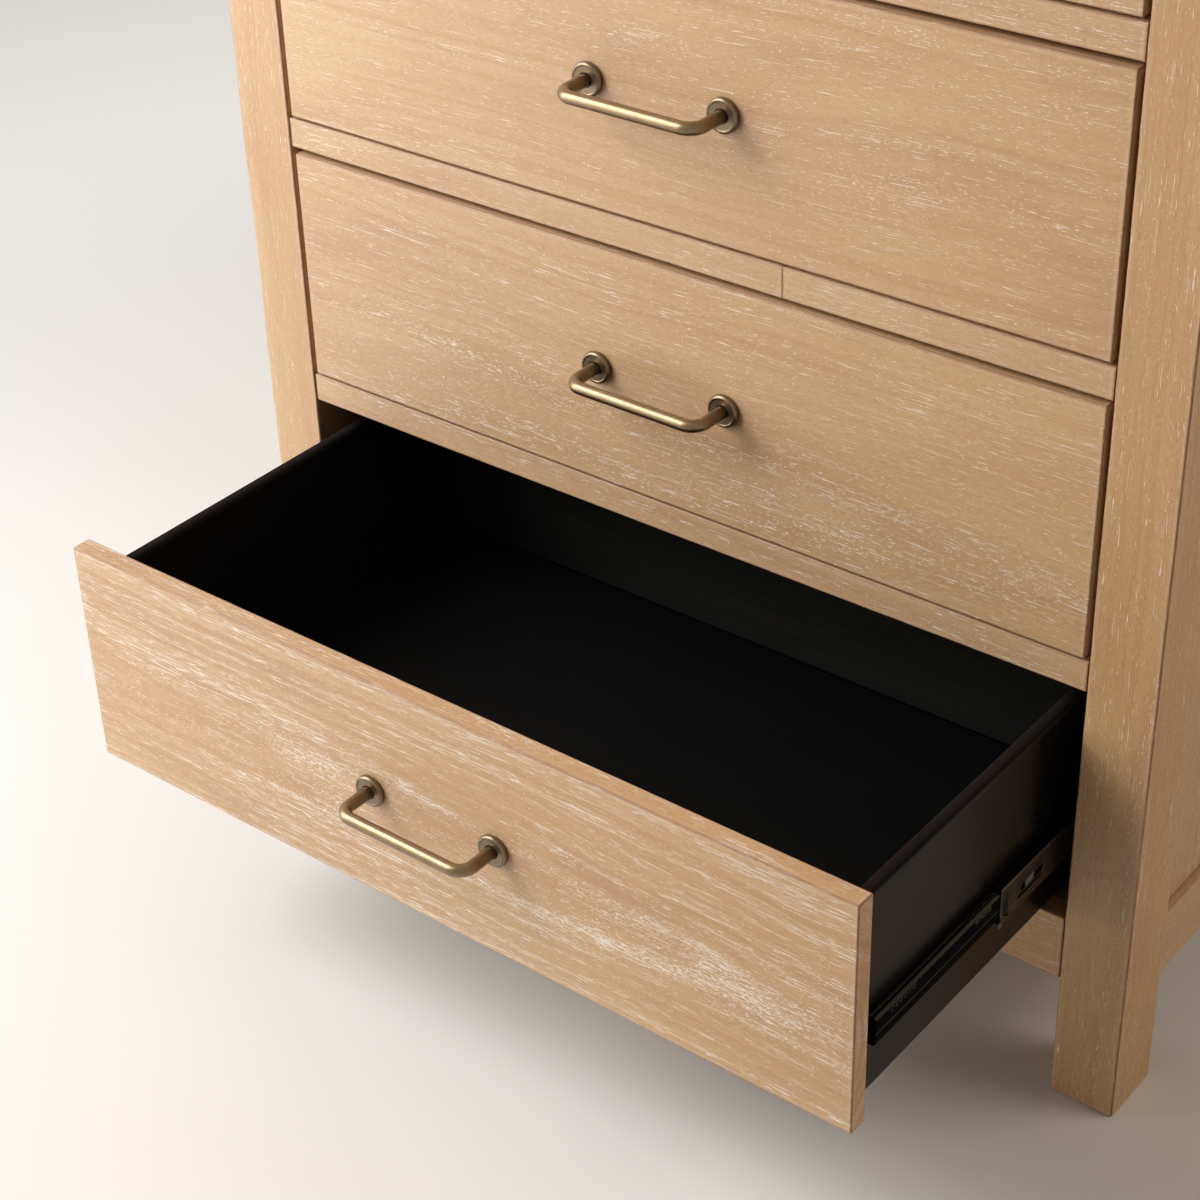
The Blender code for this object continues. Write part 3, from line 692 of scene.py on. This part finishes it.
def make_top():
    oak_board("top", *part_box("top"), 0, (0.09, 0.045), 0.0032, wear=0.3, spacing=0.012, seed=70.0, white=0.8,
              slide=11.0)


def make_back_panel():
    low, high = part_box("panel_back")
    low.x, high.x = -INNER_HALF + FIT, INNER_HALF - FIT
    oak_board("panel_back", low, high, 2, (0.05, 0.08), 0.0004, white=0.35, slide=13.0)


def finish_inner_boards():
    """Gives a material to the solids that stay as they are."""
    for name, axis in (("bottom_board", 0), ("slide_board_left", 1), ("slide_board_right", 1)):
        material = wood(name, *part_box(name), axis, (0.04, 0.05), white=0.2, dark=0.45)
        NODES[name].data.materials.clear()
        NODES[name].data.materials.append(material)


def make_frame():
    """The frame's boards. Posts and rails are numbered, so that no two have the same grain."""
    for index, hand in enumerate(SIDES):
        first = 4 * index
        make_post("front", hand, first)
        make_post("back", hand, first + 1)
        make_side_rail("bottom", hand, first + 2)
        make_side_rail("top", hand, first + 3)
        make_side_panel(hand)
    for number, name in enumerate(("apron_front", "rail_front_1", "rail_front_2", "rail_front_3",
                                   "rail_front_top", "rail_back")):
        make_rail(name, number, joint=RAIL_JOINT if name == "rail_front_2" else None)
    make_top()
    make_back_panel()
    finish_inner_boards()


# Drawers

def make_front(row):
    """A drawer's front. The lowest is cut nearest to the tree's middle, and has the most lime."""
    name = f"drawer_{row}_front"
    heart = {1: (-0.012, 0.060), 2: (0.045, 0.052), 3: (-0.075, 0.048), 4: (0.02, 0.07)}[row]
    slide = {1: 0.35, 2: 4.2, 3: 8.4, 4: 12.6}[row]
    white = {1: 1.25, 2: 0.50, 3: 0.42, 4: 0.60}[row]
    oak_board(name, *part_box(name), 0, heart, 0.0014, body=f"drawer_{row}", wear=0.22, spacing=0.012,
              seed=90.0 + row, white=white, slide=slide, warm=0.05, glaze=1.3, redder=0.55)


def black_board(body, part, low, high, axis, radii, end, material, replaces=(), steps=5):
    board(f"shown_{body}_{part}", low, high, axis, radii, end, material, body, replaces,
          steps=steps)


def make_box(row):
    """The drawer's boards: two sides, a back and a bottom, and the dark joints where they meet."""
    body = f"drawer_{row}"
    if row == 1:
        low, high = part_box("drawer_1_side_left")
        front = low.y
        nodes = [(f"drawer_1_{part}",) for part in ("side_left", "side_right", "back", "bottom")]
    else:
        low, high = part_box(f"drawer_{row}_box")
        front = low.y + BOTTOM_TONGUE
        nodes = [(f"drawer_{row}_box",), (), (), ()]
    outer, back = -low.x, high.y
    inner = outer - WALL - FIT
    round_edge, edge, bottom_edge = 0.0050, 0.0010, 0.0005
    for (hand, side), replaced in zip(SIDES.items(), nodes):
        left, right = sorted((side * outer, side * (outer - WALL)))
        black_board(body, "side_" + hand, (left, front, low.z), (right, back, high.z), 1,
                    (round_edge, round_edge, edge, edge), 0.0006, BLACK_SIDE, replaced, steps=7)
    black_board(body, "back", (-inner, back - WALL, low.z), (inner, back, high.z), 0,
                (round_edge, edge, edge, round_edge), 0.0003, BLACK_BACK_PAINTED_LIGHTER, nodes[2], steps=7)
    end = back - WALL - FIT
    bottom = low.z + BOTTOM_RISE
    floor = bottom + BOTTOM_THICKNESS
    black_board(body, "bottom", (-inner, front, bottom), (inner, end, floor), 0, (bottom_edge,) * 4,
                bottom_edge, BLACK_BOTTOM, nodes[3])
    make_box_joints(body, inner, end, floor, high.z)


def make_box_joints(body, inner, end, floor, top):
    """The dark joints between the drawer's back, its sides and its bottom."""
    start = end - BOX_JOINT
    edge, below_top = 0.0001, 0.006
    black_board(body, "seam_back", (-inner + BOX_JOINT, start, floor),
                (inner - BOX_JOINT, end, floor + BOX_JOINT), 0, (edge,) * 4, edge, JOINT_GAP)
    for hand, side in SIDES.items():
        left, right = sorted((side * inner, side * (inner - BOX_JOINT)))
        black_board(body, "seam_" + hand, (left, start, floor), (right, end, top - below_top), 2, (edge,) * 4,
                    edge, JOINT_GAP)


def rosette_profile():
    """A rosette's (radius, height) points, from its back over a round rim to the well in its face."""
    chamfer, round_over = 0.0006, 0.0024
    rim = [(0.0, 0.0), (ROSETTE_RADIUS - chamfer, 0.0), (ROSETTE_RADIUS, chamfer)]
    rim += arc((ROSETTE_RADIUS - round_over, ROSETTE_FACE - round_over), round_over, 0, 90, 8)
    face = [(0.0114, 0.0048), (0.0112, 0.0045), (0.0108, 0.0044), (0.0066, 0.0044)]
    well = [(0.0062, 0.0042), (0.0060, 0.0037), (0.0059, WELL_FLOOR), (0.0, WELL_FLOOR)]
    return rim + face + well


def make_pull(row):
    """A bent round bar whose ends stand in the wells of two turned rosettes."""
    name = f"drawer_{row}_pull"
    low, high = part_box(name)
    back, level = high.y, (low.z + high.z) / 2
    leg = [(-PULL_HALF, height) for height in (WELL_FLOOR, 0.0045, 0.010, 0.017, 0.023)]
    bend = arc((-PULL_HALF + PULL_BEND, PULL_REACH - PULL_BEND), PULL_BEND, 180, 90, 14)
    left = leg + bend
    across = [(-PULL_HALF + PULL_BEND + 2 * (PULL_HALF - PULL_BEND) * step / 12, PULL_REACH)
              for step in range(1, 12)]
    path = left + across + [(-x, height) for x, height in reversed(left)]
    shape = bmesh.new()
    tube(shape, [Vector((x, back - height, level)) for x, height in path], BAR_RADIUS, 40)
    for side in SIDES.values():
        lathe(shape, rosette_profile(), Vector((side * PULL_HALF, back, level)))
    piece = add_piece("shown_" + name, shape, antique_brass(name + "_brass", back), f"drawer_{row}",
                      (name,))
    piece.data.set_sharp_from_angle(angle=math.radians(50))


# Slides

GAUGE = 0.0012
BALL_PITCH = 0.0145
CAGE_LENGTH = 0.160

# The middle member's openings, by distance behind its front end and height above the slide's level
MOON = (0.0130, -0.0040)
MOON_RADIUS = 0.0108
BUMPER_RADIUS = 0.0092
WINDOW = ((0.0290, -0.0037), (0.0640, 0.0047))
RECESS = ((0.0258, -0.0090), (0.0640, -0.0072), (0.0652, -0.0056), (0.0268, -0.0056))

# The drawer member's first leaning notch, and the start and end of each slot
NOTCH = ((0.0195, 0.0070), (0.0217, 0.0070), (0.0241, 0.0122), (0.0219, 0.0122))
NOTCHES = 6
NOTCH_PITCH = 0.0060
SLOTS = ((0.1372, 0.1455), (0.1466, 0.1588))


def dip(centre, half, depth):
    """A shallow round groove's points, from one side of it to the other, and how deep they lie."""
    return [(centre + half * step / 3, depth * (1 - (step / 3) ** 2)) for step in range(-3, 4)]


def channel(web, tip, half_height, corner, lip, race=None, crease=None, ledge=None):
    """A slide member's section. Both of its flanges turn in at the lip, towards its own middle.

    web and tip are how far its web and its lips lie out from the drawer's side. race is a groove in each
    flange for the balls, crease one in the web, and ledge a strip of the web between two heights that lies
    lower than the rest.
    """
    inner = max(corner - GAUGE, 0.0002)
    flat = half_height - corner
    upper = [(tip, flat - lip)] + arc((tip + corner, flat), corner, 180, 90, 5)
    lower = [(u, -z) for u, z in upper]
    if race:
        upper += [(u, half_height - depth) for u, depth in dip(*race)]
        lower += [(u, depth - half_height) for u, depth in dip(*race)]
    shoulder = arc((web - corner, flat), corner, 90, 0, 5)
    upper += shoulder
    lower += [(u, -z) for u, z in shoulder]
    face = []
    if ledge:
        top, bottom, depth = ledge
        face = [(web, top), (web - depth, top - depth), (web - depth, bottom + depth), (web, bottom)]
    if crease:
        face += [(web - depth, z) for z, depth in reversed(dip(*crease))]
    inside = arc((web - corner, flat), inner, 0, 90, 5) + arc((tip + corner, flat), inner, 90, 180, 5)
    inside += [(tip + GAUGE, flat - lip)]
    return upper + face + lower[::-1] + [(u, -z) for u, z in reversed(inside)] + inside


def rounded(low, high, radius):
    """A rectangle's outline with round corners, from its low to its high corner."""
    middle = [(first + second) / 2 for first, second in zip(low, high)]
    half = [(second - first) / 2 for first, second in zip(low, high)]
    return [(middle[0] + a, middle[1] + b) for a, b in corner_ring(half[0], half[1], (radius,) * 4, 5)]


def crescent(middle, radius):
    """A moon that's full on its front side and hollow behind."""
    hollow = 0.020
    reach = math.hypot(hollow, radius)
    spread = math.degrees(math.asin(radius / reach))
    points = arc(middle, radius, 90, 270, 16)
    return points + arc((middle[0] + hollow, middle[1]), reach, 180 + spread, 180 - spread, 8)[1:-1]


def grown(outline, width):
    """An outline made larger all round about its own middle."""
    lows = [min(point[axis] for point in outline) - width for axis in (0, 1)]
    highs = [max(point[axis] for point in outline) + width for axis in (0, 1)]
    middle = [(low + high) / 2 for low, high in zip(lows, highs)]
    scale = [(high - low) / (high - low - 2 * width) for low, high in zip(lows, highs)]
    return [tuple(middle[axis] + (point[axis] - middle[axis]) * scale[axis] for axis in (0, 1))
            for point in outline]


class Slide:
    """One slide's pieces, in heights above its own level and distances out from the drawer's side."""

    def __init__(self, row, hand):
        self.prefix = f"slide_{row}_{hand}_"
        self.side = SIDES[hand]
        self.bodies = {"cabinet": "cabinet", "middle": f"slide_middle_{row}", "drawer": f"drawer_{row}"}
        boxes = {kind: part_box(f"{self.prefix}{kind}_member") for kind in self.bodies}
        self.front = {kind: box[0].y for kind, box in boxes.items()}
        self.back = {kind: box[1].y for kind, box in boxes.items()}
        self.level = (boxes["cabinet"][0].z + boxes["cabinet"][1].z) / 2

    def at(self, u, y, z):
        return (self.side * (BOX_FACE + u), y, self.level + z)

    def behind(self, kind, points):
        """An outline that's given by distance behind a member's front end."""
        return [(self.front[kind] + y, z) for y, z in points]

    def ring(self, shape, points):
        return [shape.verts.new(self.at(*point)) for point in points]

    def slab(self, shape, outline, near, far):
        """An outline in Y and Z, made solid from near to far out of the drawer's side."""
        skin(shape, [self.ring(shape, [(u, y, z) for y, z in outline]) for u in (near, far)])

    def member(self, kind, section, cuts=(), near=0.0, far=0.0):
        """A rolled channel with openings cut through it between near and far."""
        shape = bmesh.new()
        skin(shape, [self.ring(shape, [(u, y, z) for u, z in section])
                     for y in (self.front[kind], self.back[kind])])
        # The drawer's member takes the painted shade copy of the slides' black.
        material = STEEL_SHADED if kind == "drawer" else STEEL
        piece = add_piece(f"{self.prefix}{kind}_channel", shape, material, self.bodies[kind],
                          (f"{self.prefix}{kind}_member",))
        if cuts:
            tools = bmesh.new()
            for outline in cuts:
                self.slab(tools, outline, near, far)
            cut_out(piece, tools)

    def plate(self, name, kind, outline, near, far, material):
        shape = bmesh.new()
        self.slab(shape, outline, near, far)
        add_piece(self.prefix + name, shape, material, self.bodies[kind])

    def tab(self, name, kind, low, high, radius, near, far, material):
        """A plate with round corners. low and high are given by distance behind the member's front end."""
        self.plate(name, kind, rounded(*self.behind(kind, (low, high)), radius), near, far, material)

    def rims(self, name, kind, outlines, width, near, far):
        """Thin bright frames round openings: a painted highlight along their edges."""
        shape = bmesh.new()
        for outline in outlines:
            outer = grown(outline, width)
            loops = ((outer, near), (outer, far), (outline, far), (outline, near))
            rings = [self.ring(shape, [(u, y, z) for y, z in points]) for points, u in loops]
            skin(shape, rings + rings[:1], capped=False)
        add_piece(self.prefix + name, shape, EDGE_HIGHLIGHT, self.bodies[kind])

    def cage(self, name, kind, start, u, z, ball):
        """Two strips with balls in them, one above and one below the inner member."""
        shape = bmesh.new()
        half = ball - 0.0002
        start += self.front[kind]
        for flip in (1, -1):
            strip = rounded((start, flip * z - 0.00025), (start + CAGE_LENGTH, flip * z + 0.00025), 0.0002)
            self.slab(shape, strip, u - half - 0.0006, u + half + 0.0006)
            for step in range(int(CAGE_LENGTH / BALL_PITCH)):
                made = bmesh.ops.create_uvsphere(shape, u_segments=14, v_segments=8, radius=ball)
                middle = Vector(self.at(u, start + BALL_PITCH * (step + 0.6), flip * z))
                bmesh.ops.translate(shape, verts=made["verts"], vec=middle)
        add_piece(self.prefix + name, shape, BRIGHT, self.bodies[kind])


def cut_out(piece, tools):
    """Takes the tools' solids out of a piece, and keeps the result as its mesh."""
    bmesh.ops.recalc_face_normals(tools, faces=tools.faces)
    mesh = mesh_of(tools, "tools")
    tool = add_object("tools", mesh)
    cut = piece.modifiers.new("cut", "BOOLEAN")
    cut.solver = "EXACT"
    cut.object = tool
    shown = piece.modifiers["flat_faces"]
    shown.show_viewport = False
    bpy.context.view_layer.update()
    piece.data = bpy.data.meshes.new_from_object(piece.evaluated_get(bpy.context.evaluated_depsgraph_get()))
    piece.modifiers.remove(cut)
    shown.show_viewport = True
    bpy.data.objects.remove(tool, do_unlink=True)
    bpy.data.meshes.remove(mesh)
    piece.data.set_sharp_from_angle(angle=math.radians(35))


def make_middle_member(slide):
    """The middle member, with a bumper in its front end, and a long window with the latch in it."""
    moon = slide.behind("middle", (MOON,))[0]
    openings = (crescent(moon, MOON_RADIUS), rounded(*slide.behind("middle", WINDOW), 0.0030))
    section = channel(web=0.0108, tip=0.0020, half_height=0.0175, corner=0.0018, lip=0.0008,
                      ledge=(0.0158, -0.0098, 0.0005))
    slide.member("middle", section, (*openings, slide.behind("middle", RECESS)), 0.0090, 0.0120)
    slide.plate("bumper", "middle", crescent(moon, BUMPER_RADIUS), 0.0097, 0.0106, PLASTIC)
    slide.tab("window_back", "middle", (0.0245, -0.0094), (0.0665, 0.0058), 0.0010, 0.0093, 0.0095, SHADOW)
    slide.tab("latch", "middle", (0.0374, -0.0040), (0.0504, 0.0050), 0.0006, 0.0096, 0.0101, PALE)
    # The stop tab, the frames round the openings and the front nose carry the painted highlight steel.
    slide.tab("stop_tab", "middle", (-0.0012, -0.0207), (0.0030, -0.0148), 0.0012, 0.0095, 0.0104, EDGE_HIGHLIGHT)
    slide.rims("middle_edges", "middle", openings, 0.0003, 0.0105, 0.01086)
    slide.tab("middle_nose", "middle", (-0.0001, -0.0095), (0.0002, 0.0160), 0.0001, 0.0098, 0.0108, EDGE_HIGHLIGHT)


def make_drawer_member(slide):
    """The drawer's member, with notches behind its front end, and two slots further back."""
    notches = [slide.behind("drawer", [(y + NOTCH_PITCH * step, z) for y, z in NOTCH])
               for step in range(NOTCHES)]
    slots = [rounded(*slide.behind("drawer", ((start, 0.0080), (end, 0.0100))), 0.0009)
             for start, end in SLOTS]
    section = channel(web=0.0092, tip=0.0003, half_height=0.0135, corner=0.0034, lip=0.0004,
                      race=(0.0047, 0.0009, 0.0005), crease=(-0.0016, 0.0008, 0.0005))
    slide.member("drawer", section, notches + slots, 0.0066, 0.0100)
    slide.rims("drawer_edges", "drawer", notches + slots, 0.0004, 0.0088, 0.00926)
    front, back = slide.front["drawer"], slide.back["drawer"]
    # Painted highlight: a thin strip of the lighter slide steel along the crease, where its lower side catches
    # the light.
    crease_highlight = rounded((front + 0.0004, -0.0024), (back - 0.0004, -0.0020), 0.0001)
    slide.plate("drawer_crease_highlight", "drawer", crease_highlight, 0.0088, 0.00926, STEEL)
    slide.tab("lever", "drawer", (0.0006, 0.0136), (0.0190, 0.0146), 0.0004, 0.0006, 0.0042, STEEL)


def make_slide(row, hand):
    slide = Slide(row, hand)
    slide.member("cabinet", channel(web=0.0124, tip=0.0034, half_height=0.0225, corner=0.0030, lip=0.0006))
    make_middle_member(slide)
    make_drawer_member(slide)
    slide.cage("inner_cage", "drawer", start=0.1300, u=0.0052, z=0.0149, ball=0.0012)
    slide.cage("outer_cage", "middle", start=0.1200, u=0.0072, z=0.0194, ball=0.0017)


make_frame()
for row in ROWS:
    make_front(row)
    make_box(row)
    make_pull(row)
    for hand in SIDES:
        make_slide(row, hand)


# Stage

FLOOR_HALF = 14.0
LIGHT_STRENGTH = 0.11
BACKDROP_STRENGTH = 0.90


def seen_directly(graph):
    """1 for the camera's own rays and those that mirrors and glass send on, and 0 for light."""
    path = graph.add("ShaderNodeLightPath").outputs
    mirrors = graph.larger(path["Is Glossy Ray"], path["Is Transmission Ray"])
    return graph.larger(path["Is Camera Ray"], mirrors)


def blend_shaders(graph, factor, first, second, output):
    node = graph.add("ShaderNodeMixShader")
    for socket, value in zip(node.inputs, (factor, first.outputs[0], second.outputs[0])):
        graph.feed(socket, value)
    graph.feed(output, node.outputs[0])


def floor_paint():
    """Pale paint that takes the object's shadow and fades into the backdrop further off.

    The backdrop's colour, and a faint warm glow on the left that paints bounce light into the dresser's shadow
    there, are only for what's seen directly.
    """
    material, g, shader = new_material("floor_paint")
    place = g.place()
    tone = g.mix(g.noise(place, 1.3), srgb(*ROOM["floor"]), srgb(*ROOM["floor_cloud"]))
    g.fill(shader, {"Base Color": tone, "Roughness": 0.7, "Specular IOR Level": 0.2})
    away = g.vector("LENGTH", g.vector("SUBTRACT", place, (0.1, 0.0, 0.0)))
    beyond = g.mix(g.step(away, 1.5, 4.0), srgb(*ROOM["glow"]), srgb(*ROOM["backdrop"]))
    # Painted light: a warm glow on the floor's left part lightens the shadow in front of the drawers.
    near = g.times(g.step(g.separate(place)[0], 0.32, 0.02), 0.16)
    far = g.times(g.step(away, 0.7, 2.2), BACKDROP_STRENGTH)
    glow = g.add("ShaderNodeEmission")
    colour = g.mix(g.step(away, 0.7, 1.1), srgb(*ROOM["painted_bounce_glow"]), beyond)
    g.fill(glow, {"Color": colour, "Strength": 1.0})
    output = material.node_tree.nodes["Material Output"].inputs["Surface"]
    blend_shaders(g, g.times(seen_directly(g), g.larger(far, near)), shader, glow, output)
    return material


def make_floor():
    shape = bmesh.new()
    bmesh.ops.create_grid(shape, x_segments=8, y_segments=8, size=FLOOR_HALF)
    mesh = mesh_of(shape, "floor")
    mesh.materials.append(floor_paint())
    add_object("floor", mesh)


def make_room():
    """The world: a dim warm light, and a pale backdrop where it's seen directly."""
    world = bpy.data.worlds.new("room")
    bpy.context.scene.world = world
    world.use_nodes = True
    g = Graph(world.node_tree)
    light = world.node_tree.nodes["Background"]
    shown = g.add("ShaderNodeBackground")
    g.fill(light, {"Color": srgb(*ROOM["light"]), "Strength": LIGHT_STRENGTH})
    g.fill(shown, {"Color": srgb(*ROOM["backdrop"]), "Strength": BACKDROP_STRENGTH})
    blend_shaders(g, seen_directly(g), light, shown, world.node_tree.nodes["World Output"].inputs[0])


def area_light(name, place, target, size, power, colour, mirrored=True):
    light = bpy.data.lights.new(name, "AREA")
    light.shape = "RECTANGLE"
    light.size, light.size_y = size
    light.energy = power
    light.color = colour
    lamp = add_object(name, light)
    lamp.location = place
    lamp.visible_camera = False
    lamp.visible_glossy = mirrored
    lamp.rotation_euler = (Vector(target) - Vector(place)).to_track_quat("-Z", "Y").to_euler()


def make_camera():
    """A camera where the photograph was taken from."""
    data = bpy.data.cameras.new("camera")
    data.sensor_width = 36.0
    data.lens = 75.758
    camera = add_object("camera", data)
    camera.location = (1.09555, -1.50840, 1.51301)
    camera.rotation_euler = (0.99282654, 0.02809673, 0.66654436)
    bpy.context.scene.camera = camera


make_floor()
make_room()
area_light("key_high", place=(-1.60, -1.40, 2.20), target=(0.0, -0.2, 0.50), size=(1.4, 1.4), power=62.5,
           colour=(1.0, 0.99, 0.98))
area_light("key_low", place=(-1.90, -1.50, 1.05), target=(0.0, -0.2, 0.50), size=(1.6, 2.0), power=45.5,
           colour=(0.98, 1.0, 0.97))
area_light("right", place=(2.00, 0.80, 1.40), target=(0.45, 0.0, 0.40), size=(1.2, 1.2), power=15.5,
           colour=(1.0, 0.86, 0.74), mirrored=False)
make_camera()
bpy.context.scene.view_settings.view_transform = "Standard"
